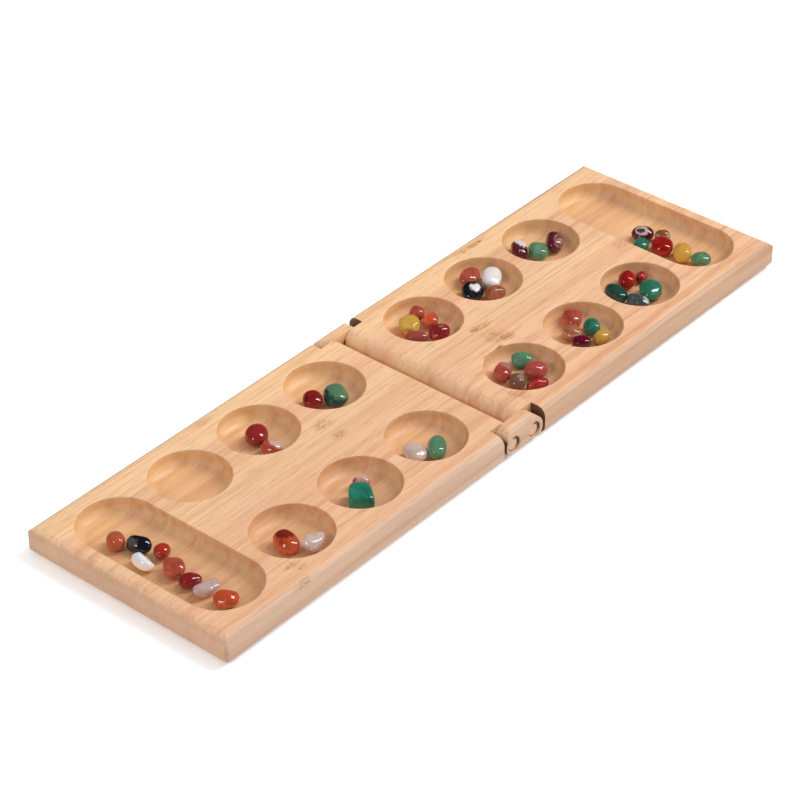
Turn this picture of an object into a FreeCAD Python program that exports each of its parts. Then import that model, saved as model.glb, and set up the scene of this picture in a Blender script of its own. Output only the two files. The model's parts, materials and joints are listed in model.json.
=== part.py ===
import FreeCAD, Part
import math
import os

# A folding mancala board of bamboo with its polished stones.
# Two half boards are joined by two wooden link hinges. Each link turns on two dowels, one
# glued into each half, so that the halves fold face to face with a dowel spacing of one
# board thickness. Each half has six round pits, in two rows, and one long store at its end.
#
# Millimetres. +X runs along the open board, +Y across it and +Z up. The origin is the middle
# of the underside. "near" is the -X half and "far" the +X half; "front" is the -Y edge and
# "back" the +Y edge.

# ---- Board ----
LENGTH = 422.0
WIDTH = 127.0
THICK = 15.5
CORNER_R = 2.0  # the four outer corners, seen from above
EDGE_R = 5.0  # the rounding of the outer edges, above and below

# ---- Pits and stores, cut with one round-nosed cutter ----
PIT_R = 20.4
PIT_DEPTH = 9.0
COVE_R = 5.4  # between wall and floor
RIM_R = 0.5  # the broken edge at the top
PIT_PITCH = 48.0  # from pit to pit along the board, and from the last pit to the store
FIRST_PIT_X = 37.7
ROW_Y = 32.6  # each row's distance from the middle line
PITS_IN_ROW = 3  # in each half

# ---- Hinge ----
FOLD_GAP = 0.2  # between the two upper faces of the closed board
PIN_SPACING = THICK + FOLD_GAP
PIN_X = PIN_SPACING / 2
PIN_Z = THICK / 2
PIN_R = 4.0
PIN_CLEARANCE = 0.08  # radial, where a dowel turns in its link
PIN_RECESS = 0.9  # how far the dowel's end lies inside the board's edge
PIN_CHAMFER = 0.6
PIN_GRIP = 20.0  # how deep the dowel is glued into its half
GLUE_SPACE = 0.5  # left at the bottom of the blind hole
NOSE_BACK = 1.1  # how far the centre of each half's round end lies behind its dowel
LINK_WIDTH = 8.7
LINK_SIDE_GAP = 0.25
LINK_END_BACK = 1.7  # how far the centre of the link's round end lies inside its dowel
NOTCH_CLEARANCE = 0.2
MOUTH_CHAMFER = 0.5  # round the link's holes, on the outside

# ---- Worked out from the above ----
FLOOR_Z = THICK - PIT_DEPTH
FLOOR_R = PIT_R - COVE_R
STORE_X = FIRST_PIT_X + PITS_IN_ROW * PIT_PITCH
ROUND_END_R = THICK / 2
NOTCH_X = PIN_X + ROUND_END_R + NOTCH_CLEARANCE
TONGUE_Y = WIDTH / 2 - LINK_WIDTH - LINK_SIDE_GAP

# ---- Stones ----
STONE_POWER = 2.4  # of the superellipse that a tumbled stone's outline follows
STONE_GAP = 0.12  # under a stone
LEAN_PER_MM = 2.6  # degrees that a stone tips up for each mm that it reaches onto the cove

# Each stone: colour, offset x and y from the middle of its pit, length, width, height, and
# the heading of its length, in degrees anticlockwise from +X.
STONES = {
    "near_store": [
        ("brown", -5.5, 29.0, 11.0, 9.0, 7.6, 50),
        ("black", 0.0, 19.0, 12.5, 10.5, 7.8, -80),
        ("white", -8.0, 9.0, 13.0, 8.5, 7.0, 85),
        ("red", 3.0, 7.5, 9.5, 8.0, 7.2, 45),
        ("brick", -2.5, -5.5, 13.0, 10.5, 8.0, 45),
        ("crimson", -4.0, -17.0, 11.0, 8.5, 6.8, -20),
        ("lavender", -3.0, -26.5, 14.5, 9.0, 7.0, -15),
        ("orange", -3.5, -39.0, 12.0, 10.5, 8.0, -60),
    ],
    "a2": [
        ("crimson", 0.5, 2.0, 14.0, 11.5, 8.4, 45),
        ("brick", -2.0, -10.0, 11.0, 8.5, 6.8, -65),
    ],
    "a3": [
        ("crimson", -8.5, 0.5, 12.0, 10.0, 7.8, 45),
        ("forest", 2.0, -5.5, 15.5, 12.5, 8.2, 40),
    ],
    "b1": [
        ("orange", -3.5, 0.5, 15.0, 11.0, 8.0, 70),
        ("clear", 4.5, -9.5, 13.5, 8.5, 7.2, 5),
    ],
    "b2": [
        ("emerald", -4.0, -3.5, 14.0, 12.5, 8.4, 45),
        ("rose", 5.0, 4.0, 8.5, 6.0, 6.4, -50),
    ],
    "b3": [
        ("clear", -9.0, -0.5, 13.0, 11.0, 7.6, 80),
        ("jade", 0.5, -6.5, 15.5, 9.5, 8.0, 40),
    ],
    "a4": [
        ("amber", -3.5, 6.5, 12.5, 11.0, 8.0, 40),
        ("brick", 8.0, 11.0, 8.5, 8.0, 6.6, 40),
        ("orange", 7.0, 1.0, 10.5, 8.0, 7.4, 40),
        ("maroon", -9.0, -3.0, 12.0, 6.5, 6.4, -50),
        ("crimson", 1.5, -9.5, 12.0, 9.5, 7.6, -15),
    ],
    "a5": [
        ("brick", 2.5, 11.0, 14.5, 10.0, 7.4, 15),
        ("black", -7.0, 1.0, 13.5, 12.0, 8.0, 40),
        ("white", 9.0, 1.5, 16.0, 10.5, 8.0, 35),
        ("brown", 0.0, -8.5, 11.0, 9.0, 7.4, -15),
    ],
    "a6": [
        ("maroon", -8.5, 7.5, 15.0, 9.0, 7.2, 40),
        ("jade", -3.5, -1.5, 13.5, 10.5, 8.2, 40),
        ("maroon", 9.0, -2.5, 14.5, 9.5, 8.2, 35),
    ],
    "b4": [
        ("brick", -5.0, 9.5, 12.5, 9.5, 7.6, 40),
        ("jade", 9.5, 8.5, 11.0, 9.0, 7.0, -45),
        ("brown", -7.0, -1.5, 11.0, 8.5, 7.4, 40),
        ("red", 6.5, -2.5, 12.5, 11.0, 7.8, 5),
        ("crimson", -1.5, -10.0, 12.0, 6.5, 6.4, -25),
    ],
    "b5": [
        ("brick", 6.0, 11.5, 13.5, 10.5, 7.6, 30),
        ("brown", -3.5, 4.0, 10.0, 9.5, 7.2, -25),
        ("maroon", -7.5, -5.0, 10.0, 8.0, 7.0, -50),
        ("teal", 7.0, -0.5, 11.0, 9.0, 7.2, 60),
        ("amber", 3.0, -10.0, 10.5, 8.0, 7.0, 5),
    ],
    "b6": [
        ("red", 4.0, 11.0, 12.0, 9.0, 7.6, 35),
        ("crimson", 12.5, 8.0, 7.0, 6.0, 5.6, 0),
        ("forest", -9.0, 8.5, 14.0, 10.0, 7.4, 70),
        ("grey", -7.0, -4.5, 12.5, 8.5, 6.8, 90),
        ("teal", 4.5, -4.0, 15.0, 12.0, 8.2, 40),
    ],
    "far_store": [
        ("maroon", -2.0, -0.5, 12.0, 10.0, 7.2, -45),
        ("teal", -11.5, -6.5, 10.0, 8.5, 6.8, 30),
        ("red", -5.5, -16.0, 14.5, 11.5, 8.0, 35),
        ("amber", -4.0, -28.0, 14.0, 10.0, 8.0, 35),
        ("jade", -2.5, -39.0, 10.5, 9.5, 7.0, -40),
        ("brown", 3.5, -9.5, 8.5, 6.5, 6.4, -45),
    ],
}


def vector(x, y, z):
    return FreeCAD.Vector(x, y, z)


X_AXIS = vector(1, 0, 0)
Y_AXIS = vector(0, 1, 0)
Z_AXIS = vector(0, 0, 1)


def save(node, shape):
    shape.exportStep(os.path.join("parts", node + ".step"))


def cylinder_along_y(radius, y_from, y_to, x):
    """A cylinder on a dowel's axis, between two distances along it."""
    return Part.makeCylinder(radius, y_to - y_from, vector(x, y_from, PIN_Z), Y_AXIS)


# ---- Pits and stores ----


def pocket(x, y, straight):
    """The space that the cutter clears: a round pit, or a store if it runs straight along Y."""
    shape = Part.makeCylinder(PIT_R, THICK, vector(x, y - straight / 2, FLOOR_Z))
    if straight:
        corner = vector(x - PIT_R, y - straight / 2, FLOOR_Z)
        shape = shape.fuse(Part.makeBox(2 * PIT_R, straight, THICK, corner))
        shape = shape.fuse(Part.makeCylinder(PIT_R, THICK, vector(x, y + straight / 2, FLOOR_Z)))
        shape = shape.removeSplitter()
    floor_edges = [e for e in shape.Edges if e.BoundBox.ZMax < FLOOR_Z + 0.01]
    return shape.makeFillet(COVE_R, floor_edges)


def pockets_of_far_half():
    xs = [FIRST_PIT_X + n * PIT_PITCH for n in range(PITS_IN_ROW)]
    pits = [pocket(x, y, 0) for x in xs for y in (-ROW_Y, ROW_Y)]
    return pits + [pocket(STORE_X, 0, 2 * ROW_Y)]


def rim_edges(shape):
    """The edges where the pits and the store open into the upper face."""
    inner_x = FIRST_PIT_X - PIT_R - 1
    inner_y = ROW_Y + PIT_R + 1
    outer_x = STORE_X + PIT_R + 1
    edges = []
    for edge in shape.Edges:
        box = edge.BoundBox
        on_top = box.ZMin > THICK - 0.01
        among_pits = box.XMin > inner_x and box.XMax < outer_x
        if on_top and among_pits and max(-box.YMin, box.YMax) < inner_y:
            edges.append(edge)
    return edges


# ---- The two halves ----


def rounded_strip(edge_length, radius):
    """The whole board's box, with only the edges that run one way rounded."""
    strip = Part.makeBox(LENGTH, WIDTH, THICK, vector(-LENGTH / 2, -WIDTH / 2, 0))
    return strip.makeFillet(radius, [e for e in strip.Edges if edge_length(e.BoundBox) > 1])


def outer_block():
    """The far half's full width, from the hinge notches to the end, with its edges rounded."""
    block = rounded_strip(lambda box: box.XLength, EDGE_R)
    block = block.common(rounded_strip(lambda box: box.YLength, EDGE_R))
    block = block.common(rounded_strip(lambda box: box.ZLength, CORNER_R))
    return block.common(Part.makeBox(LENGTH, WIDTH, THICK, vector(NOTCH_X, -WIDTH / 2, 0)))


def tongue():
    """The narrower round-ended part of the far half, between the two links."""
    x = PIN_X + NOSE_BACK
    nose_bottom = vector(x, -TONGUE_Y, 0)
    nose_top = vector(x, -TONGUE_Y, THICK)
    nose_tip = vector(x - ROUND_END_R, -TONGUE_Y, THICK / 2)
    root_bottom = vector(NOTCH_X, -TONGUE_Y, 0)
    root_top = vector(NOTCH_X, -TONGUE_Y, THICK)
    outline = Part.Wire(
        [
            Part.makeLine(nose_bottom, root_bottom),
            Part.makeLine(root_bottom, root_top),
            Part.makeLine(root_top, nose_top),
            Part.Arc(nose_top, nose_tip, nose_bottom).toShape(),
        ]
    )
    return Part.Face(outline).extrude(vector(0, 2 * TONGUE_Y, 0))


def far_half():
    board = outer_block().fuse(tongue()).removeSplitter()
    for shape in pockets_of_far_half():
        board = board.cut(shape)
    board = board.makeFillet(RIM_R, rim_edges(board))
    depth = PIN_GRIP + GLUE_SPACE
    board = board.cut(cylinder_along_y(PIN_R, TONGUE_Y - depth, TONGUE_Y + 1, PIN_X))
    board = board.cut(cylinder_along_y(PIN_R, -TONGUE_Y - 1, depth - TONGUE_Y, PIN_X))
    return board.Solids[0]


# ---- The hinge ----


def back_link():
    """A flat wooden link with round ends, whose outer side follows the board's rounded edge."""
    end_x = PIN_X - LINK_END_BACK
    inner_y = TONGUE_Y + LINK_SIDE_GAP
    outline = Part.Wire(
        [
            Part.makeLine(vector(-end_x, inner_y, 0), vector(end_x, inner_y, 0)),
            Part.Arc(
                vector(end_x, inner_y, 0),
                vector(end_x + ROUND_END_R, inner_y, THICK / 2),
                vector(end_x, inner_y, THICK),
            ).toShape(),
            Part.makeLine(vector(end_x, inner_y, THICK), vector(-end_x, inner_y, THICK)),
            Part.Arc(
                vector(-end_x, inner_y, THICK),
                vector(-end_x - ROUND_END_R, inner_y, THICK / 2),
                vector(-end_x, inner_y, 0),
            ).toShape(),
        ]
    )
    link = Part.Face(outline).extrude(vector(0, LINK_WIDTH, 0))
    link = link.common(rounded_strip(lambda box: box.XLength, EDGE_R))
    hole_r = PIN_R + PIN_CLEARANCE
    for x in (-PIN_X, PIN_X):
        link = link.cut(cylinder_along_y(hole_r, inner_y - 1, WIDTH / 2 + 1, x))
        mouth = vector(x, WIDTH / 2 - MOUTH_CHAMFER, PIN_Z)
        wide_r = hole_r + 2 * MOUTH_CHAMFER
        link = link.cut(Part.makeCone(hole_r, wide_r, 2 * MOUTH_CHAMFER, mouth, Y_AXIS))
    return link.Solids[0]


def back_dowel(x):
    """The dowel on which the back link turns, glued into the half at that x."""
    y_out = WIDTH / 2 - PIN_RECESS
    dowel = cylinder_along_y(PIN_R, TONGUE_Y - PIN_GRIP, y_out, x)
    end = [e for e in dowel.Edges if e.BoundBox.YMin > y_out - 0.01]
    return dowel.makeChamfer(PIN_CHAMFER, end).Solids[0]


# ---- Stones ----


def outline_point(turn):
    """A point of the stone's unit outline: its radius and height at a turn from -90 to 90."""
    radius = math.cos(turn) ** (2 / STONE_POWER) if abs(turn) < math.pi / 2 else 0.0
    height = math.copysign(abs(math.sin(turn)) ** (2 / STONE_POWER), turn)
    return radius, height


def unit_stone():
    """A round flattened pebble of radius 1 and half height 1, turned about Z."""
    steps = 8
    turns = [math.pi * (n / steps - 0.5) for n in range(steps + 1)]
    points = []
    for turn in turns:
        radius, height = outline_point(turn)
        points.append(vector(radius, 0, height))
    curve = Part.BSplineCurve()
    curve.interpolate(Points=points, InitialTangent=X_AXIS * 2, FinalTangent=X_AXIS * -2)
    axis = Part.makeLine(points[-1], points[0])
    face = Part.Face(Part.Wire([curve.toShape(), axis]))
    return face.revolve(vector(0, 0, 0), Z_AXIS, 360)


def pit_places():
    """The middle of every pit and store, and the straight length that it runs along Y."""
    places = {
        "near_store": (-STORE_X, 0.0, 2 * ROW_Y),
        "far_store": (STORE_X, 0.0, 2 * ROW_Y),
    }
    for n in range(PITS_IN_ROW):
        far_x = FIRST_PIT_X + n * PIT_PITCH
        near_x = FIRST_PIT_X + (PITS_IN_ROW - 1 - n) * PIT_PITCH
        for row, y in (("a", ROW_Y), ("b", -ROW_Y)):
            places[row + str(n + 1)] = (-near_x, y, 0.0)
            places[row + str(n + 1 + PITS_IN_ROW)] = (far_x, y, 0.0)
    return places


def from_axis(y, straight):
    """The distance along Y from the pocket's middle axis, or from the end of a store's."""
    return y - max(-straight / 2, min(straight / 2, y))


def pocket_surface(x, y, straight):
    """The height of the pocket's surface at an offset from its middle."""
    radius = math.hypot(x, from_axis(y, straight))
    if radius <= FLOOR_R:
        return FLOOR_Z
    if radius >= PIT_R:
        return THICK
    return FLOOR_Z + COVE_R - math.sqrt(COVE_R**2 - (radius - FLOOR_R) ** 2)


def resting_height(turned, x, y, straight):
    """How high the middle of a stone lies when it just clears the pocket's surface."""
    rows, columns = 24, 36
    height = FLOOR_Z
    for row in range(rows + 1):
        radius, level = outline_point(math.pi * (row / rows - 0.5))
        for column in range(columns):
            around = 2 * math.pi * column / columns
            local = vector(radius * math.cos(around), radius * math.sin(around), level)
            point = turned.multiply(local)
            under = pocket_surface(x + point.x, y + point.y, straight)
            height = max(height, under - point.z)
    return height + STONE_GAP


def stone(unit, pocket_place, x, y, size, heading):
    """A stone lying in its pocket, tipped up where it reaches onto the cove."""
    centre_x, centre_y, straight = pocket_place
    length, width, height = size
    out_x, out_y = x, from_axis(y, straight)
    distance = math.hypot(out_x, out_y)
    reach = distance + (length + width) / 4
    lean = LEAN_PER_MM * max(0.0, reach - FLOOR_R)
    tip_axis = vector(out_y, -out_x, 0) if distance else Y_AXIS
    turned = FreeCAD.Matrix()
    turned.scale(length / 2, width / 2, height / 2)
    turned.rotateZ(math.radians(heading))
    turned = FreeCAD.Rotation(tip_axis, lean).toMatrix() * turned
    z = resting_height(turned, x, y, straight)
    placed = FreeCAD.Matrix()
    placed.move(centre_x + x, centre_y + y, z)
    return unit.transformGeometry(placed * turned).Solids[0]


# ---- Everything ----


def main():
    os.makedirs("parts", exist_ok=True)
    half = far_half()
    save("far_board", half)
    save("near_board", half.mirror(vector(0, 0, 0), X_AXIS))
    link = back_link()
    save("back_hinge_link", link)
    save("front_hinge_link", link.mirror(vector(0, 0, 0), Y_AXIS))
    for side, x in (("near", -PIN_X), ("far", PIN_X)):
        dowel = back_dowel(x)
        save(side + "_back_dowel", dowel)
        save(side + "_front_dowel", dowel.mirror(vector(0, 0, 0), Y_AXIS))
    unit = unit_stone()
    places = pit_places()
    for pit, stones in STONES.items():
        for n, (colour, x, y, length, width, height, heading) in enumerate(stones, 1):
            size = (length, width, height)
            shape = stone(unit, places[pit], x, y, size, heading)
            save("stone_" + pit + "_" + str(n) + "_" + colour, shape)


main()
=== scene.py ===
import json
import math
import random
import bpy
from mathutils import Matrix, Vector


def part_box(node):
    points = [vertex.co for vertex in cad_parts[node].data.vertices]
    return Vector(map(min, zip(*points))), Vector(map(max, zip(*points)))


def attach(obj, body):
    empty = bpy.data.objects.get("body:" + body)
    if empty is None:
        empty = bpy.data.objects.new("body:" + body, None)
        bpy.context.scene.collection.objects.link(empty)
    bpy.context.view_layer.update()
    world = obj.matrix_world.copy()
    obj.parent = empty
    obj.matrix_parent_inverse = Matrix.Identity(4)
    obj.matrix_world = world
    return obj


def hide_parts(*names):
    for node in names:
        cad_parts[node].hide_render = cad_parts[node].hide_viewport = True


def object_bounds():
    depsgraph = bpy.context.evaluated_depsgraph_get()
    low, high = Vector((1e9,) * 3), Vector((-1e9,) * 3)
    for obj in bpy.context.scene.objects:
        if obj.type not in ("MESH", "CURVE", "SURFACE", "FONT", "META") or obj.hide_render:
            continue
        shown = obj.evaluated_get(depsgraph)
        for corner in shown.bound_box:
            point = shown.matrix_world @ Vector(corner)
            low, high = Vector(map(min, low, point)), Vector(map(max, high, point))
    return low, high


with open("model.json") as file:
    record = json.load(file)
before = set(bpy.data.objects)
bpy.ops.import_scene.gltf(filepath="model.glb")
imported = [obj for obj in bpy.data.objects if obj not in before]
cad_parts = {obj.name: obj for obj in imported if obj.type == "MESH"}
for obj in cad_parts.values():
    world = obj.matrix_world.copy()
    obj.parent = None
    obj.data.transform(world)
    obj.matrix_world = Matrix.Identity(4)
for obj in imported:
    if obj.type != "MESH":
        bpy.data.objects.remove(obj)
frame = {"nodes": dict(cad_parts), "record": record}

from types import SimpleNamespace

import bmesh
import bpy
import numpy as np
from mathutils import Matrix, Vector, noise

cad_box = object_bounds()

# ---- Sizes, in metres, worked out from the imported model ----
BOARD_END, BOARD_EDGE, TOP_Z = cad_box[1]  # the open board's far end, back edge and upper face
MM = 0.001

# ---- Camera ----
CAMERA_AZIMUTH = -49.21  # degrees; 0 looks along +Y
CAMERA_ELEVATION = 35.81
CAMERA_ROLL = -0.57
CAMERA_DISTANCE = 1.4573
CAMERA_TARGET = Vector((-0.02374, -0.00425, TOP_Z))
CAMERA_LENS = 134.19  # mm, on a sensor of CAMERA_SENSOR
CAMERA_SENSOR = 36.0

# ---- Light and floor ----
SKY_STRENGTH = 0.80  # of the even studio light from all round
KEY_POWER = 57.0
KEY_PLACE = (1.5, -1.0, 1.85)
KEY_SIZE = (0.5, 2.2)
FILL_POWER = 4.5
FILL_PLACE = (-1.35, 0.15, 0.95)
FILL_SIZE = (0.35, 0.45)
LIGHT_AIM = (0.0, 0.0, 0.0)
FLOOR_COLOUR = (0.92, 0.92, 0.92)
FLOOR_ROUGHNESS = 0.9
FLOOR_GLOW = 0.14  # of the light table that the board lies on
FLOOR_REACH = 6.0  # from its middle to its edges
FLOOR_Z = -0.2 * MM
WHITE = (1.0, 1.0, 1.0, 1.0)

# ---- Colours of the wood, linear ----
BAMBOO_PALE = (0.70, 0.44, 0.255)
BAMBOO_MID = (0.635, 0.355, 0.185)
BAMBOO_DARK = (0.50, 0.235, 0.10)
BAMBOO_FIBRE = (0.33, 0.125, 0.045)
BAMBOO_MARK = (0.21, 0.062, 0.015)
BAMBOO_END = (0.46, 0.265, 0.165)
# painted shade: the dark brown of the shaded hinge notches and of the shadow crescents round the dowels
PAINTED_SHADE_BROWN = (0.10, 0.040, 0.016)
MARK_HALO = (0.86, 0.70, 0.53)  # of the wood round a growth mark
PIT_TINT = (0.955, 0.905, 0.785)  # of the deeper layers that the pits are cut into
NEAR_SIDE_LAYERS_AND_SHADE = (0.70, 0.765, 0.85)  # of the long sides: partly the tone of the layers' edges, partly painted shade with a cool painted reflection of the floor
# painted shade, as on the near board's sides, for the far board and the links
FAR_SIDE_LAYERS_AND_SHADE = (0.63, 0.63, 0.62)
LINK_SIDE_LAYERS_AND_SHADE = (0.67, 0.70, 0.74)
LINK_TONE = 1.01
CONTACT_SHADE_COLOUR = (0.16, 0.085, 0.060)  # painted contact shade along the lowest edge of the long sides

# ---- Looks of the stones ----
# Each stone colour: the shade of its depths, of its body and of its pale veins, how far light
# passes straight through it, and how far light spreads inside it.
STONE_LOOKS = {
    "amber": ((0.54, 0.26, 0.035), (0.75, 0.45, 0.095), (0.80, 0.60, 0.25), 0.35, 0.35),
    "black": ((0.004, 0.005, 0.009), (0.008, 0.009, 0.014), (0.020, 0.021, 0.030), 0.0, 0.0),
    "brick": ((0.28, 0.048, 0.032), (0.50, 0.095, 0.058), (0.58, 0.22, 0.16), 0.25, 0.3),
    "brown": ((0.24, 0.060, 0.030), (0.42, 0.14, 0.075), (0.56, 0.26, 0.17), 0.2, 0.25),
    "clear": ((0.66, 0.51, 0.45), (0.77, 0.63, 0.57), (0.84, 0.76, 0.71), 0.40, 0.4),
    "crimson": ((0.12, 0.006, 0.009), (0.29, 0.020, 0.021), (0.44, 0.075, 0.065), 0.25, 0.2),
    "emerald": ((0.010, 0.11, 0.070), (0.028, 0.22, 0.14), (0.08, 0.36, 0.24), 0.2, 0.2),
    "forest": ((0.010, 0.035, 0.028), (0.022, 0.075, 0.055), (0.085, 0.19, 0.12), 0.2, 0.15),
    "grey": ((0.030, 0.045, 0.050), (0.070, 0.10, 0.105), (0.26, 0.29, 0.30), 0.2, 0.15),
    "jade": ((0.065, 0.16, 0.080), (0.13, 0.30, 0.165), (0.26, 0.46, 0.31), 0.3, 0.3),
    "lavender": ((0.54, 0.38, 0.37), (0.66, 0.48, 0.47), (0.76, 0.65, 0.64), 0.35, 0.4),
    "maroon": ((0.055, 0.005, 0.010), (0.12, 0.016, 0.024), (0.24, 0.070, 0.075), 0.15, 0.15),
    "orange": ((0.38, 0.045, 0.014), (0.61, 0.108, 0.045), (0.68, 0.24, 0.12), 0.35, 0.3),
    "red": ((0.22, 0.003, 0.003), (0.38, 0.014, 0.012), (0.52, 0.075, 0.055), 0.3, 0.25),
    "rose": ((0.34, 0.10, 0.09), (0.52, 0.30, 0.27), (0.70, 0.56, 0.52), 0.3, 0.35),
    "teal": ((0.012, 0.090, 0.060), (0.035, 0.20, 0.125), (0.11, 0.40, 0.29), 0.25, 0.2),
    "white": ((0.68, 0.64, 0.66), (0.78, 0.75, 0.77), (0.84, 0.82, 0.83), 0.0, 0.3),
}

# Stones that aren't the usual rounded pebble.
STONE_SHAPES = {
    "stone_a2_1_crimson": "round",
    "stone_a3_1_crimson": "round",
    "stone_a4_1_amber": "angular",
    "stone_a5_3_white": "round",
    "stone_b1_2_clear": "angular",
    "stone_b2_1_emerald": "block",
    "stone_b3_2_jade": "round",
    "stone_far_store_5_jade": "round",
    "stone_near_store_1_brown": "round",
    "stone_near_store_2_black": "angular",
    "stone_near_store_7_lavender": "angular",
}

# Large broken faces of single stones: the way each faces, in the board's axes, and its distance
# from the middle of a stone of radius 1.
STONE_FLATS = {
    "stone_near_store_3_white": (((0.77, -0.27, 0.57), 0.50),),
    "stone_near_store_7_lavender": (((0.21, 0.65, 0.73), 0.60), ((0.0, -0.3, 0.95), 0.80)),
    "stone_b1_2_clear": (((0.45, 0.50, 0.74), 0.76),),
    "stone_a4_1_amber": (((-0.30, -0.20, 0.93), 0.72),),
}

# Patches of another colour in a stone, later ones over earlier: the way from its middle to the
# patch, in the board's axes, how far the patch reaches round a stone of radius 1, and its colour.
CHALK = (0.66, 0.62, 0.62)
BLUSH = (0.34, 0.17, 0.17)
WINE = (0.045, 0.005, 0.010)
EYE_WAY = (-0.35, -0.10, 0.94)
RINGS_WAY = (0.10, -0.75, 0.65)
UP = (0.0, 0.0, 1.0)
ALL_ROUND = 2.2  # the reach of a patch that covers its whole stone
STONE_PATCHES = {
    "stone_near_store_1_brown": (((-0.3, -0.5, 0.5), 1.0, (0.44, 0.085, 0.035)),),
    "stone_near_store_2_black": (((-0.75, 0.15, 0.65), 0.45, (0.07, 0.065, 0.065)),),
    "stone_near_store_4_red": ((UP, ALL_ROUND, (0.39, 0.036, 0.017)),),
    "stone_a2_1_crimson": ((UP, ALL_ROUND, (0.28, 0.022, 0.025)),),
    "stone_a2_2_brick": (((0.60, -0.35, 0.80), 0.85, (0.56, 0.42, 0.38)),),
    "stone_a3_2_forest": (((0.30, -0.20, 0.90), 1.05, (0.10, 0.20, 0.115)),),
    "stone_a4_4_maroon": ((UP, ALL_ROUND, (0.30, 0.060, 0.045)),),
    "stone_a4_5_crimson": (((0.10, -0.10, 1.00), 0.30, (0.22, 0.12, 0.13)),),
    "stone_a5_2_black": (
        ((-0.05, -0.30, 0.95), 0.50, CHALK),
        ((0.20, 0.05, 0.95), 0.22, (0.02, 0.02, 0.03)),
    ),
    "stone_a5_3_white": ((UP, ALL_ROUND, (0.60, 0.55, 0.54)),),
    "stone_a6_1_maroon": (((0.80, 0.15, 0.75), 0.85, CHALK),),
    "stone_a6_3_maroon": (
        (RINGS_WAY, 0.74, BLUSH),
        (RINGS_WAY, 0.56, WINE),
        (RINGS_WAY, 0.38, BLUSH),
    ),
    "stone_b1_1_orange": (((0.35, 0.45, 0.80), 0.80, (0.15, 0.018, 0.014)),),
    "stone_b2_2_rose": (((-0.65, 0.75, 0.10), 0.85, (0.40, 0.045, 0.035)),),
    "stone_b4_1_brick": (((0.75, 0.10, 0.70), 0.80, (0.36, 0.19, 0.17)),),
    "stone_b4_3_brown": (
        (UP, ALL_ROUND, (0.15, 0.075, 0.055)),
        ((0.20, -0.30, 0.90), 0.35, (0.26, 0.21, 0.20)),
    ),
    "stone_b4_4_red": ((UP, ALL_ROUND, (0.42, 0.080, 0.066)),),
    "stone_b5_2_brown": ((UP, 1.30, (0.52, 0.30, 0.18)), (UP, 1.10, (0.34, 0.105, 0.045))),
    "stone_b5_3_maroon": ((UP, 1.20, (0.10, 0.004, 0.014)),),
    "stone_b5_5_amber": ((UP, ALL_ROUND, (0.54, 0.32, 0.055)),),
    # the pale patch on this grey stone, on its side towards the key light, is a painted highlight
    "stone_b6_4_grey": (((0.30, -0.70, 0.60), 0.50, (0.36, 0.38, 0.39)),),
    "stone_far_store_1_maroon": ((EYE_WAY, 0.66, (0.52, 0.42, 0.43)), (EYE_WAY, 0.40, WINE)),
    "stone_far_store_4_amber": (((0.80, -0.55, 0.35), 0.30, (0.38, 0.04, 0.01)),),
    "stone_far_store_6_brown": ((UP, 1.25, (0.48, 0.33, 0.20)), (UP, 0.95, (0.20, 0.050, 0.020))),
}


# ---- Node helpers ----


def new_material(name):
    """A material with only a Principled shader and its output: (material, tree, shader)."""
    material = bpy.data.materials.new(name)
    material.use_nodes = True
    tree = material.node_tree
    tree.nodes.clear()
    output = tree.nodes.new("ShaderNodeOutputMaterial")
    shader = tree.nodes.new("ShaderNodeBsdfPrincipled")
    tree.links.new(shader.outputs["BSDF"], output.inputs["Surface"])
    return material, tree, shader


def feed(tree, socket, value):
    """Links another node's output to a socket, or sets the socket to a plain value."""
    if isinstance(value, bpy.types.NodeSocket):
        tree.links.new(value, socket)
    elif isinstance(value, (tuple, list)) and len(value) == 3 and socket.type == "RGBA":
        socket.default_value = (*value, 1.0)
    else:
        socket.default_value = value


def add(tree, kind, inputs=None, **settings):
    """A new node of that kind, with its settings and its inputs by name or number."""
    made = tree.nodes.new("ShaderNode" + kind)
    for key, value in settings.items():
        setattr(made, key, value)
    for key, value in (inputs or {}).items():
        feed(tree, made.inputs[key], value)
    return made


def calc(tree, operation, *values):
    made = add(tree, "Math", dict(enumerate(values)), operation=operation)
    return made.outputs[0]


def product(tree, first, *others):
    for other in others:
        first = calc(tree, "MULTIPLY", first, other)
    return first


def vector_calc(tree, operation, *values, result="Vector"):
    made = add(tree, "VectorMath", dict(enumerate(values)), operation=operation)
    return made.outputs[result]


def smooth(tree, value, low, high, to_low=0.0, to_high=1.0):
    """The value eased from one range into another."""
    inputs = {"Value": value, "From Min": low, "From Max": high, "To Min": to_low, "To Max": to_high}
    made = add(tree, "MapRange", inputs, interpolation_type="SMOOTHSTEP")
    return made.outputs["Result"]


def eased(tree, share, to_low, to_high):
    """A share from 0 to 1 eased into another range."""
    return smooth(tree, share, 0.0, 1.0, to_low, to_high)


def blend_colours(tree, share, first, second, mode="MIX"):
    made = add(tree, "Mix", data_type="RGBA", blend_type=mode)
    feed(tree, made.inputs["Factor"], share)
    feed(tree, made.inputs[6], first)
    feed(tree, made.inputs[7], second)
    return made.outputs[2]


def toned(tree, colour, tone):
    """The colour made lighter or darker."""
    return add(tree, "HueSaturation", {"Color": colour, "Value": tone}).outputs["Color"]


def stretched(tree, vector, scale, offset=(0.0, 0.0, 0.0)):
    inputs = {"Vector": vector, "Scale": scale, "Location": offset}
    return add(tree, "Mapping", inputs).outputs["Vector"]


def noise_at(tree, vector, detail=3.0, roughness=0.55, distortion=0.0):
    inputs = {"Vector": vector, "Scale": 1.0, "Detail": detail, "Roughness": roughness}
    inputs["Distortion"] = distortion
    return add(tree, "TexNoise", inputs).outputs["Fac"]


def grain(tree, place, scale, **settings):
    """Noise that repeats about as often per metre, along X, Y and Z, as the scale says."""
    return noise_at(tree, stretched(tree, place, scale), **settings)


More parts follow.
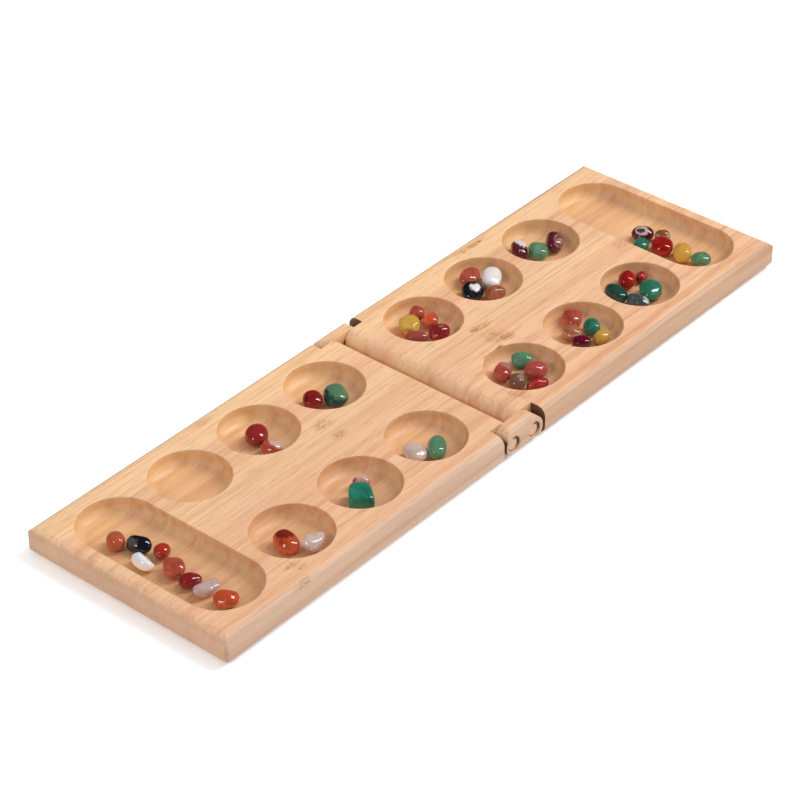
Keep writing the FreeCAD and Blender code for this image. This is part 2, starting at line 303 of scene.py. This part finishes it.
def ramp(tree, share, stops):
    """A colour ramp with stops of (place, colour)."""
    made = add(tree, "ValToRGB", {"Fac": share})
    elements = made.color_ramp.elements
    while len(elements) > 1:
        elements.remove(elements[-1])
    elements[0].position, elements[0].color = stops[0][0], (*stops[0][1], 1.0)
    for place, colour in stops[1:]:
        elements.new(place).color = (*colour, 1.0)
    return made.outputs["Color"]


def bumped(tree, shader, height, strength, distance):
    inputs = {"Height": height, "Strength": strength, "Distance": distance}
    tree.links.new(add(tree, "Bump", inputs).outputs["Normal"], shader.inputs["Normal"])


# ---- Bamboo ----

STRIP_WIDTH = 21.5 * MM  # of the strips that the board is glued up from
STRIP_WANDER = 1.2 * MM  # of the strips' edges
STRIP_TONES = (0.97, 1.035)  # of the darkest and the palest strip
STRIP_HUES = (0.494, 0.505)  # 0.5 leaves a hue as it is
CLOUD_TONES = (0.955, 1.045)  # of the broad soft clouds across the strips
SEAM_FROM = 0.486  # of a strip's width, from its middle; the seam runs on to 0.5
SEAM_STRENGTH = 0.22
STREAK_STOPS = ((0.30, BAMBOO_DARK), (0.45, BAMBOO_MID), (0.58, BAMBOO_PALE), (0.74, BAMBOO_MID))
STREAK_EVENNESS = 0.38  # how far the streaks fade into the pale tone
FIBRE_STRENGTHS = (0.12, 0.42)  # on sides, and on faces that look up or down
PORE_STRENGTHS = (0.12, 0.36)
PIT_GRAIN = 0.35  # how much of the fibres still shows in the pits
PIT_WALL_PAINTED_LIGHT = 1.06  # painted light: how much paler the pit walls are made
END_FIBRE_STRENGTH = 0.22
END_TONES = (0.93, 1.08)
END_STRENGTH = 0.8
# strength of the painted contact shade along the sides' lowest edge
CONTACT_SHADE_STRENGTH = 0.85
# strength of the painted shade in the hinge notches
NOTCH_SHADE_STRENGTH = 0.95
WOOD_ROUGHNESS = (0.42, 0.55)
WOOD_BUMP = 0.16
WOOD_RELIEF = 0.15 * MM
STREAK_RELIEF = 0.6  # of the streaks' relief, where the fibres' is 1

# Zones of the board. Each pair says where a zone begins to count and where it counts fully,
# as a height, as a distance from the fold or from the middle line, or, for "facing", as how
# squarely a face looks up or down, sideways or along the board.
PITS_BELOW = (TOP_Z - 0.3 * MM, TOP_Z - 1.2 * MM)
PITS_FROM_FOLD = (16.2 * MM, 17 * MM)
PITS_TO_END = (BOARD_END - 6 * MM, BOARD_END - 7 * MM)
PITS_FROM_MIDDLE = (BOARD_EDGE - 6.5 * MM, BOARD_EDGE - 7.5 * MM)
WALL_FACING_UP = (0.95, 0.25)
ENDS_FROM_FOLD = (BOARD_END - 8 * MM, BOARD_END - 3 * MM)
ENDS_FACING_ALONG = (0.55, 0.98)
SIDES_FROM_MIDDLE = (BOARD_EDGE - 5.5 * MM, BOARD_EDGE - 2.5 * MM)
SIDES_FACING_SIDEWAYS = (0.06, 0.60)
# where the painted contact shade begins and is full, by height
CONTACT_SHADE_BELOW = (2.4 * MM, 1.6 * MM)
CONTACT_SHADE_ABOVE = (0.7 * MM, 1.2 * MM)
# where the painted shade in the hinge notches lies
NOTCHES_FROM_FOLD = (28 * MM, 24 * MM)
NOTCHES_FROM_MIDDLE = (BOARD_EDGE - 10.5 * MM, BOARD_EDGE - 9.5 * MM)
NOTCH_SHADE_FACING_ALONG = (0.80, 0.95)
GRAIN_FACING_UP = (0.4, 0.95)

# Darker growth marks, which go right through a board: x, y, half length, half width and strength.
BAMBOO_MARKS = (
    (-0.0635, 0.0118, 0.0055, 0.0035, 0.60),
    (-0.0640, -0.0003, 0.0045, 0.0025, 0.60),
    (-0.1530, -0.0497, 0.0045, 0.0020, 0.50),
    (-0.1505, -0.0540, 0.0030, 0.0012, 0.50),
    (-0.1585, -0.0613, 0.0055, 0.0012, 0.65),
    (-0.1000, 0.0575, 0.0060, 0.0030, 0.30),
    (0.0465, 0.0062, 0.0032, 0.0017, 0.95),
    (0.0520, 0.0053, 0.0055, 0.0020, 0.60),
    (0.0490, -0.0057, 0.0065, 0.0055, 0.50),
    (0.0530, -0.0102, 0.0045, 0.0030, 0.60),
    (0.0420, -0.0131, 0.0030, 0.0010, 0.85),
    (0.0350, -0.0131, 0.0060, 0.0008, 0.60),
    (0.0160, -0.0430, 0.0025, 0.0035, 0.45),
    (0.0185, -0.0485, 0.0030, 0.0035, 0.45),
    (0.1090, 0.0565, 0.0062, 0.0013, 1.00),
    (0.0980, 0.0570, 0.0060, 0.0020, 0.45),
    (0.1580, -0.0020, 0.0060, 0.0040, 0.30),
)


def board_place(tree):
    """Where a point lies on the board and which way its face looks, as sockets."""
    coordinates = add(tree, "TexCoord")
    place = coordinates.outputs["Object"]
    axes = add(tree, "SeparateXYZ", {"Vector": place})
    facing = add(tree, "SeparateXYZ", {"Vector": coordinates.outputs["Normal"]})
    along, sideways, upright = (calc(tree, "ABSOLUTE", facing.outputs[axis]) for axis in "XYZ")
    at = SimpleNamespace(place=place, y=axes.outputs["Y"], z=axes.outputs["Z"])
    at.from_fold = calc(tree, "ABSOLUTE", axes.outputs["X"])
    at.from_middle = calc(tree, "ABSOLUTE", at.y)
    at.along, at.sideways, at.upright = along, sideways, upright
    at.in_pit = product(
        tree,
        smooth(tree, at.z, *PITS_BELOW),
        smooth(tree, at.from_middle, *PITS_FROM_MIDDLE),
        smooth(tree, at.from_fold, *PITS_FROM_FOLD),
        smooth(tree, at.from_fold, *PITS_TO_END),
    )
    return at


def strip_numbers(tree, at):
    """Each strip's own random number, and how far across its strip a point lies, from 0 to 1."""
    wander = grain(tree, at.place, (4.0, 30.0, 30.0), detail=2.0)
    wandered = calc(tree, "ADD", at.y, calc(tree, "MULTIPLY", wander, STRIP_WANDER))
    strip_place = calc(tree, "DIVIDE", wandered, STRIP_WIDTH)
    strip = calc(tree, "FLOOR", strip_place)
    own = add(tree, "TexWhiteNoise", {"W": strip}, noise_dimensions="1D").outputs["Value"]
    return own, calc(tree, "FRACT", strip_place)


def striped_colour(tree, at, streaks, own, tone):
    """Long soft streaks, in strips that each have their own tone and hue."""
    cloud = grain(tree, at.place, (8.0, 24.0, 24.0), detail=2.0)
    base = blend_colours(tree, STREAK_EVENNESS, ramp(tree, streaks, STREAK_STOPS), BAMBOO_PALE)
    cloud_tone = smooth(tree, cloud, 0.25, 0.75, *CLOUD_TONES)
    tones = product(tree, eased(tree, own, *STRIP_TONES), cloud_tone, tone)
    tinted = add(tree, "HueSaturation", {"Color": base, "Value": tones})
    tree.links.new(eased(tree, own, *STRIP_HUES), tinted.inputs["Hue"])
    return tinted.outputs["Color"]


def with_grain(tree, at, colour, fibres, across):
    """Fibres, short pores, and the glue lines between the strips."""
    shown = eased(tree, at.in_pit, 1.0, PIT_GRAIN)
    most = product(tree, smooth(tree, at.upright, *GRAIN_FACING_UP, *FIBRE_STRENGTHS), shown)
    colour = blend_colours(tree, smooth(tree, fibres, 0.47, 0.76, 0.0, most), colour, BAMBOO_FIBRE)
    pores = grain(tree, at.place, (75.0, 1500.0, 1300.0), detail=2.0)
    most = product(tree, smooth(tree, at.upright, *GRAIN_FACING_UP, *PORE_STRENGTHS), shown)
    colour = blend_colours(tree, smooth(tree, pores, 0.54, 0.70, 0.0, most), colour, BAMBOO_FIBRE)
    off_middle = calc(tree, "ABSOLUTE", calc(tree, "SUBTRACT", across, 0.5))
    seam = smooth(tree, off_middle, SEAM_FROM, 0.5, 0.0, SEAM_STRENGTH)
    return blend_colours(tree, seam, colour, BAMBOO_FIBRE)


def growth_mark(tree, place, mark):
    """How strongly one growth mark shows at a point: an oval patch that fades at its edge."""
    x, y, half_length, half_width, strength = mark
    off = vector_calc(tree, "SUBTRACT", place, (x, y, 0.0))
    oval = vector_calc(tree, "MULTIPLY", off, (1 / half_length, 1 / half_width, 0.0))
    length = vector_calc(tree, "LENGTH", oval, result="Value")
    return smooth(tree, length, 0.3, 1.5, strength, 0.0)


def with_marks(tree, at, colour, marks):
    """Growth marks: a darker cloud of short ticks with a warm halo, except in the pits."""
    ticks = smooth(tree, grain(tree, at.place, (330.0, 950.0, 900.0), detail=2.0), 0.48, 0.62)
    outside = calc(tree, "SUBTRACT", 1.0, at.in_pit)
    for mark in marks:
        shown = product(tree, growth_mark(tree, at.place, mark), outside)
        colour = blend_colours(tree, shown, colour, MARK_HALO, mode="MULTIPLY")
        colour = blend_colours(tree, product(tree, shown, ticks), colour, BAMBOO_MARK)
    return colour


def with_pits(tree, at, colour):
    """The golden tone of the deeper layers, and painted light that makes the pit walls paler."""
    colour = blend_colours(tree, at.in_pit, colour, PIT_TINT, mode="MULTIPLY")
    # painted light on the pit walls
    wall_light = product(tree, at.in_pit, smooth(tree, at.upright, *WALL_FACING_UP))
    return toned(tree, colour, eased(tree, wall_light, 1.0, PIT_WALL_PAINTED_LIGHT))


def with_ends(tree, at, colour):
    """End grain on the board's two ends."""
    bundles = grain(tree, at.place, (60.0, 750.0, 750.0), detail=2.0)
    patches = grain(tree, at.place, (30.0, 55.0, 90.0), detail=2.0)
    dots = smooth(tree, bundles, 0.4, 0.7, 0.0, END_FIBRE_STRENGTH)
    end_colour = blend_colours(tree, dots, BAMBOO_END, BAMBOO_FIBRE)
    end_colour = toned(tree, end_colour, smooth(tree, patches, 0.3, 0.7, *END_TONES))
    at_end = smooth(tree, at.from_fold, *ENDS_FROM_FOLD)
    facing = smooth(tree, at.along, *ENDS_FACING_ALONG, 0.0, END_STRENGTH)
    return blend_colours(tree, product(tree, at_end, facing), colour, end_colour)


def with_sides(tree, at, colour, side_layers_and_shade):
    """The long sides' tone, partly the layers' own and partly painted shade, and a painted contact
    shade along their lowest edge.
    """
    at_side = smooth(tree, at.from_middle, *SIDES_FROM_MIDDLE)
    share = product(tree, at_side, smooth(tree, at.sideways, *SIDES_FACING_SIDEWAYS))
    colour = blend_colours(tree, share, colour, side_layers_and_shade, mode="MULTIPLY")
    # painted contact shade: a dark line along the lowest edge of the long sides
    below = smooth(tree, at.z, *CONTACT_SHADE_BELOW, 0.0, CONTACT_SHADE_STRENGTH)
    lowest = product(tree, at_side, below, smooth(tree, at.z, *CONTACT_SHADE_ABOVE))
    return blend_colours(tree, lowest, colour, CONTACT_SHADE_COLOUR)


def with_notch_shade(tree, at, colour):
    """Painted shade on the walls of the hinge notches that face along the board."""
    notch_shade = product(
        tree,
        smooth(tree, at.from_fold, *NOTCHES_FROM_FOLD),
        smooth(tree, at.from_middle, *NOTCHES_FROM_MIDDLE),
        smooth(tree, at.along, *NOTCH_SHADE_FACING_ALONG, 0.0, NOTCH_SHADE_STRENGTH),
    )
    return blend_colours(tree, notch_shade, colour, PAINTED_SHADE_BROWN)


def bamboo(name, side_layers_and_shade, marks=(), tone=1.0):
    """Laminated bamboo: glued strips along X, each with its own tone, fibres and fine pores."""
    material, tree, shader = new_material(name)
    at = board_place(tree)
    own, across = strip_numbers(tree, at)
    streaks = grain(tree, at.place, (5.0, 190.0, 110.0), detail=4.0, roughness=0.6, distortion=0.3)
    fibres = grain(tree, at.place, (14.0, 800.0, 700.0), detail=3.0, roughness=0.7)

    colour = striped_colour(tree, at, streaks, own, tone)
    colour = with_grain(tree, at, colour, fibres, across)
    colour = with_marks(tree, at, colour, marks)
    colour = with_pits(tree, at, colour)
    colour = with_ends(tree, at, colour)
    colour = with_sides(tree, at, colour, side_layers_and_shade)
    colour = with_notch_shade(tree, at, colour)

    tree.links.new(colour, shader.inputs["Base Color"])
    tree.links.new(smooth(tree, fibres, 0.3, 0.7, *WOOD_ROUGHNESS), shader.inputs["Roughness"])
    relief = calc(tree, "ADD", fibres, calc(tree, "MULTIPLY", streaks, STREAK_RELIEF))
    bumped(tree, shader, relief, WOOD_BUMP, WOOD_RELIEF)
    return material


DOWEL_STOPS = ((0.3, BAMBOO_DARK), (0.5, BAMBOO_MID), (0.75, BAMBOO_PALE))
DOWEL_ROUGHNESS = 0.55
DOWEL_BUMP = 0.25
DOWEL_SHADOW_SHIFT = 0.7 * MM  # how far the painted shadow crescent's middle lies off the dowel's axis
DOWEL_SHADOW_RING = (1.1 * MM, 0.6 * MM)  # inside the dowel's edge, where its painted shadow ring begins and is full
DOWEL_SHADOW_STRENGTH = 0.95


def dowel_wood(node):
    """A turned dowel: fibres along Y, end grain, and a painted shadow crescent inside its rim."""
    material, tree, shader = new_material(node + "_grain")
    low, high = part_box(node)
    middle = (Vector(low) + Vector(high)) / 2
    radius = (high[2] - low[2]) / 2
    place = add(tree, "TexCoord").outputs["Object"]
    fibres = grain(tree, place, (700.0, 30.0, 700.0), detail=3.0)
    colour = blend_colours(tree, 0.5, ramp(tree, fibres, DOWEL_STOPS), BAMBOO_END)
    dots = grain(tree, place, (1500.0, 200.0, 1500.0), detail=1.0)
    colour = blend_colours(tree, smooth(tree, dots, 0.55, 0.7, 0.0, 0.3), colour, BAMBOO_FIBRE)

    # a painted shadow: a dark crescent inside the rim, off to one side as if cast into the dowel's
    # recess
    shadow_centre = (middle.x - DOWEL_SHADOW_SHIFT, 0.0, middle.z - DOWEL_SHADOW_SHIFT / 2)
    off = vector_calc(tree, "SUBTRACT", place, shadow_centre)
    flat = vector_calc(tree, "MULTIPLY", off, (1.0, 0.0, 1.0))
    from_axis = vector_calc(tree, "LENGTH", flat, result="Value")
    shadow_from, shadow_full = (radius - inside for inside in DOWEL_SHADOW_RING)
    dowel_shadow = smooth(tree, from_axis, shadow_from, shadow_full, 0.0, DOWEL_SHADOW_STRENGTH)
    colour = blend_colours(tree, dowel_shadow, colour, PAINTED_SHADE_BROWN)

    tree.links.new(colour, shader.inputs["Base Color"])
    shader.inputs["Roughness"].default_value = DOWEL_ROUGHNESS
    bumped(tree, shader, fibres, DOWEL_BUMP, WOOD_RELIEF)
    return material


def paint(node, material):
    for slot in frame["nodes"][node].material_slots:
        slot.material = material


# ---- Stones ----

ROUNDNESS = 2.2  # of the superellipsoid under each stone: 2 is an ellipsoid
# For each shape: how many soft flats it gets, and the nearest that they come to the middle of a
# stone of radius 1.
SOFT_FLATS = {"round": (2, 0.96), "pebble": (5, 0.90), "angular": (9, 0.80)}
SHARPNESS = {"round": 9.0, "pebble": 9.0, "angular": 14.0, "block": 12.0}  # of the edges
BLOCK_FLAT = 0.74  # how far a block's six flats lie from its middle
BLOCK_TAPER = 0.18
LUMPS = ((1.3, 0.03), (4.0, 0.006))  # coarse and fine: how many, and how high
BALL_SUBDIVISIONS = 5
STONE_IOR = 1.54
STONE_ROUGHNESS = (0.05, 0.14)
STONE_GLOW = (1.45, 0.80)  # tone at the foot, where light gathers, and at the top
STONE_BUMP = 0.08
STONE_RELIEF = 0.2 * MM
SCATTER_RADIUS = (1.0, 0.6, 0.5)  # red light goes furthest
SCATTER_SCALE = 2.5 * MM
PATCH_FADE = 0.10  # to either side of a patch's edge
PATCH_RAGGED = 0.6  # how far its edge strays
PATCH_STRENGTH = 0.92


def resting_frame(node):
    """A stone's middle, its own axes as a rotation, and its half sizes along them."""
    points = np.array([v.co for v in frame["nodes"][node].data.vertices], float)
    middle = (points.min(0) + points.max(0)) / 2
    spread = points - middle
    axes = np.linalg.eigh(spread.T @ spread)[1][:, ::-1]
    if axes[2, 2] < 0:
        axes[:, 2] *= -1
    if axes[0, 0] < 0:
        axes[:, 0] *= -1
    axes[:, 1] = np.cross(axes[:, 2], axes[:, 0])
    along = spread @ axes
    half = (along.max(0) - along.min(0)) / 2
    middle = middle + axes @ ((along.max(0) + along.min(0)) / 2)
    return Vector(middle), Matrix(axes.tolist()), Vector(half)


def pebble_flats(rng, shape, own_flats):
    """The directions and distances of the soft flats that tumbling wore onto a stone."""
    if shape == "block":
        sides = ((1, 0, 0), (-1, 0, 0), (0, 1, 0), (0, -1, 0), (0, 0, 1), (0, 0, -1))
        return [(Vector(way), BLOCK_FLAT) for way in sides]
    count, nearest = SOFT_FLATS[shape]
    flats = list(own_flats)
    for _ in range(count):
        way = Vector((rng.gauss(0, 1), rng.gauss(0, 1), rng.gauss(0, 1))).normalized()
        flats.append((way, rng.uniform(nearest, 1.0)))
    return flats


def pebble_radius(way, flats, power):
    """How far a stone reaches in one direction: a superellipsoid, softly cut by its flats."""
    total = sum(abs(part) ** ROUNDNESS for part in way) ** (power / ROUNDNESS)
    for direction, distance in flats:
        share = way.dot(direction) / distance
        if share > 0:
            total += share ** power
    return total ** (-1 / power)


def lumpiness(way, drift):
    """How much further than its smooth form a stone reaches in one direction, as a factor."""
    return sum((height * noise.noise(way * count + drift) for count, height in LUMPS), 1.0)


def pebble_mesh(name, half, rng, shape, own_flats):
    """A tumbled stone in its own axes, exactly as large as the half sizes say."""
    flats = pebble_flats(rng, shape, own_flats)
    drift = Vector((rng.uniform(-50, 50), rng.uniform(-50, 50), rng.uniform(-50, 50)))
    ball = bmesh.new()
    bmesh.ops.create_icosphere(ball, subdivisions=BALL_SUBDIVISIONS, radius=1.0)
    for vertex in ball.verts:
        way = vertex.co.normalized()
        point = way * (pebble_radius(way, flats, SHARPNESS[shape]) * lumpiness(way, drift))
        if shape == "block":
            point.y *= 1 - BLOCK_TAPER * point.x
        vertex.co = point
    low = [min(v.co[i] for v in ball.verts) for i in range(3)]
    high = [max(v.co[i] for v in ball.verts) for i in range(3)]
    for vertex in ball.verts:
        for i in range(3):
            share = 2 * (vertex.co[i] - low[i]) / (high[i] - low[i]) - 1
            vertex.co[i] = share * half[i]
    for face in ball.faces:
        face.smooth = True
    mesh = bpy.data.meshes.new(name)
    ball.to_mesh(mesh)
    ball.free()
    return mesh


def with_patches(tree, colour, patches, place, turn, ragged):
    """A stone's own patches of other colours, with ragged edges."""
    way_out = vector_calc(tree, "NORMALIZE", place)
    for way, reach, patch_colour in patches:
        inner_way = (turn.transposed() @ Vector(way)).normalized()
        off = vector_calc(tree, "DISTANCE", way_out, inner_way, result="Value")
        edge = (reach - PATCH_FADE, reach + PATCH_FADE)
        shown = smooth(tree, calc(tree, "ADD", off, ragged), *edge, PATCH_STRENGTH, 0.0)
        colour = blend_colours(tree, shown, colour, patch_colour)
    return colour


def stone_material(node, half, turn, seed):
    """Polished stone: clouds of light and dark, brighter below, and its own patches."""
    deep, body, vein, through, spread = STONE_LOOKS[node.split("_")[-1]]
    material, tree, shader = new_material(node + "_polish")
    place = add(tree, "TexCoord").outputs["Object"]
    place = stretched(tree, place, (1 / half.x, 1 / half.y, 1 / half.z))
    offset = (seed * 1.7, seed * 2.3, seed * 0.9)  # so that no two stones are alike
    cloud = noise_at(tree, stretched(tree, place, (1.0, 1.0, 1.0), offset), distortion=0.5)
    fine = noise_at(tree, stretched(tree, place, (3.0, 3.0, 3.0), (seed, 0.0, 0.0)))
    height = add(tree, "SeparateXYZ", {"Vector": place}).outputs["Z"]
    colour = ramp(tree, cloud, ((0.28, deep), (0.46, body), (0.58, body), (0.80, vein)))
    colour = toned(tree, colour, smooth(tree, height, -0.9, 0.8, *STONE_GLOW))

    both = calc(tree, "SUBTRACT", calc(tree, "ADD", cloud, fine), 1.0)
    ragged = calc(tree, "MULTIPLY", both, PATCH_RAGGED)
    colour = with_patches(tree, colour, STONE_PATCHES.get(node, ()), place, turn, ragged)

    tree.links.new(colour, shader.inputs["Base Color"])
    tree.links.new(smooth(tree, fine, 0.35, 0.75, *STONE_ROUGHNESS), shader.inputs["Roughness"])
    shader.inputs["IOR"].default_value = STONE_IOR
    shader.inputs["Transmission Weight"].default_value = through
    if spread:
        shader.inputs["Subsurface Weight"].default_value = spread
        shader.inputs["Subsurface Radius"].default_value = SCATTER_RADIUS
        shader.inputs["Subsurface Scale"].default_value = SCATTER_SCALE
    bumped(tree, shader, fine, STONE_BUMP, STONE_RELIEF)
    return material


def body_of(node):
    for body, members in frame["record"]["behaviour"]["bodies"].items():
        if node in members:
            return body


def make_stone(node, seed):
    rng = random.Random(seed)
    middle, turn, half = resting_frame(node)
    name = node.replace("stone_", "polished_")
    inner_flats = [(turn.transposed() @ Vector(way), reach) for way, reach in STONE_FLATS.get(node, ())]
    mesh = pebble_mesh(name, half, rng, STONE_SHAPES.get(node, "pebble"), inner_flats)
    mesh.materials.append(stone_material(node, half, turn, seed))
    # a stone lies on the floor of its pit, so it is as low as its solid and no lower
    lowest = middle.z + min((turn @ vertex.co).z for vertex in mesh.vertices)
    middle.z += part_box(node)[0][2] - lowest
    piece = bpy.data.objects.new(name, mesh)
    bpy.context.scene.collection.objects.link(piece)
    piece.matrix_world = Matrix.Translation(middle) @ turn.to_4x4()
    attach(piece, body_of(node))
    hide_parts(node)


# ---- Stage ----


def make_floor():
    mesh = bpy.data.meshes.new("floor")
    corners = ((-1, -1), (1, -1), (1, 1), (-1, 1))
    mesh.from_pydata([(x * FLOOR_REACH, y * FLOOR_REACH, 0) for x, y in corners], [], [(0, 1, 2, 3)])
    material, _, shader = new_material("floor_paper")
    shader.inputs["Base Color"].default_value = (*FLOOR_COLOUR, 1.0)
    shader.inputs["Roughness"].default_value = FLOOR_ROUGHNESS
    shader.inputs["Emission Color"].default_value = WHITE
    shader.inputs["Emission Strength"].default_value = FLOOR_GLOW
    mesh.materials.append(material)
    floor = bpy.data.objects.new("floor", mesh)
    bpy.context.scene.collection.objects.link(floor)
    floor.location.z = FLOOR_Z


def make_area_light(name, place, size, power):
    data = bpy.data.lights.new(name, "AREA")
    data.shape = "RECTANGLE"
    data.size, data.size_y = size
    data.energy = power
    light = bpy.data.objects.new(name, data)
    bpy.context.scene.collection.objects.link(light)
    light.location = place
    light.rotation_euler = (Vector(LIGHT_AIM) - Vector(place)).to_track_quat("-Z", "Y").to_euler()


def make_light():
    """Even light from all round, and two soft boxes that show as highlights in the stones."""
    world = bpy.data.worlds.new("studio")
    bpy.context.scene.world = world
    world.use_nodes = True
    background = world.node_tree.nodes["Background"]
    background.inputs["Color"].default_value = WHITE
    background.inputs["Strength"].default_value = SKY_STRENGTH
    world.cycles_visibility.glossy = False
    make_area_light("key", KEY_PLACE, KEY_SIZE, KEY_POWER)
    make_area_light("fill", FILL_PLACE, FILL_SIZE, FILL_POWER)


def make_camera():
    data = bpy.data.cameras.new("camera")
    data.lens = CAMERA_LENS
    data.sensor_width = CAMERA_SENSOR
    camera = bpy.data.objects.new("camera", data)
    bpy.context.scene.collection.objects.link(camera)
    turn, rise = math.radians(CAMERA_AZIMUTH), math.radians(CAMERA_ELEVATION)
    back = Vector((math.sin(turn) * math.cos(rise), -math.cos(turn) * math.cos(rise), math.sin(rise)))
    right = (-back).cross(Vector((0, 0, 1))).normalized()
    up = right.cross(-back)
    roll = math.radians(CAMERA_ROLL)
    rolled_right = math.cos(roll) * right + math.sin(roll) * up
    rolled_up = math.cos(roll) * up - math.sin(roll) * right
    axes = Matrix((rolled_right, rolled_up, back)).transposed()
    place = CAMERA_TARGET + CAMERA_DISTANCE * back
    camera.matrix_world = Matrix.Translation(place) @ axes.to_4x4()
    bpy.context.scene.camera = camera


# ---- Everything ----

bpy.context.scene.view_settings.view_transform = "Standard"
make_camera()
make_light()
make_floor()

near_marks = [mark for mark in BAMBOO_MARKS if mark[0] < 0]
far_marks = [mark for mark in BAMBOO_MARKS if mark[0] > 0]
paint("near_board", bamboo("near_board_bamboo", NEAR_SIDE_LAYERS_AND_SHADE, marks=near_marks))
paint("far_board", bamboo("far_board_bamboo", FAR_SIDE_LAYERS_AND_SHADE, marks=far_marks))
for link_edge in ("front", "back"):
    link_bamboo = bamboo(f"{link_edge}_link_bamboo", LINK_SIDE_LAYERS_AND_SHADE, tone=LINK_TONE)
    paint(f"{link_edge}_hinge_link", link_bamboo)
for dowel_side in ("near", "far"):
    for dowel_edge in ("front", "back"):
        dowel = f"{dowel_side}_{dowel_edge}_dowel"
        paint(dowel, dowel_wood(dowel))

stone_nodes = sorted(n for n in frame["nodes"] if n.startswith("stone_"))
for seed, stone_node in enumerate(stone_nodes, 1):
    make_stone(stone_node, seed)
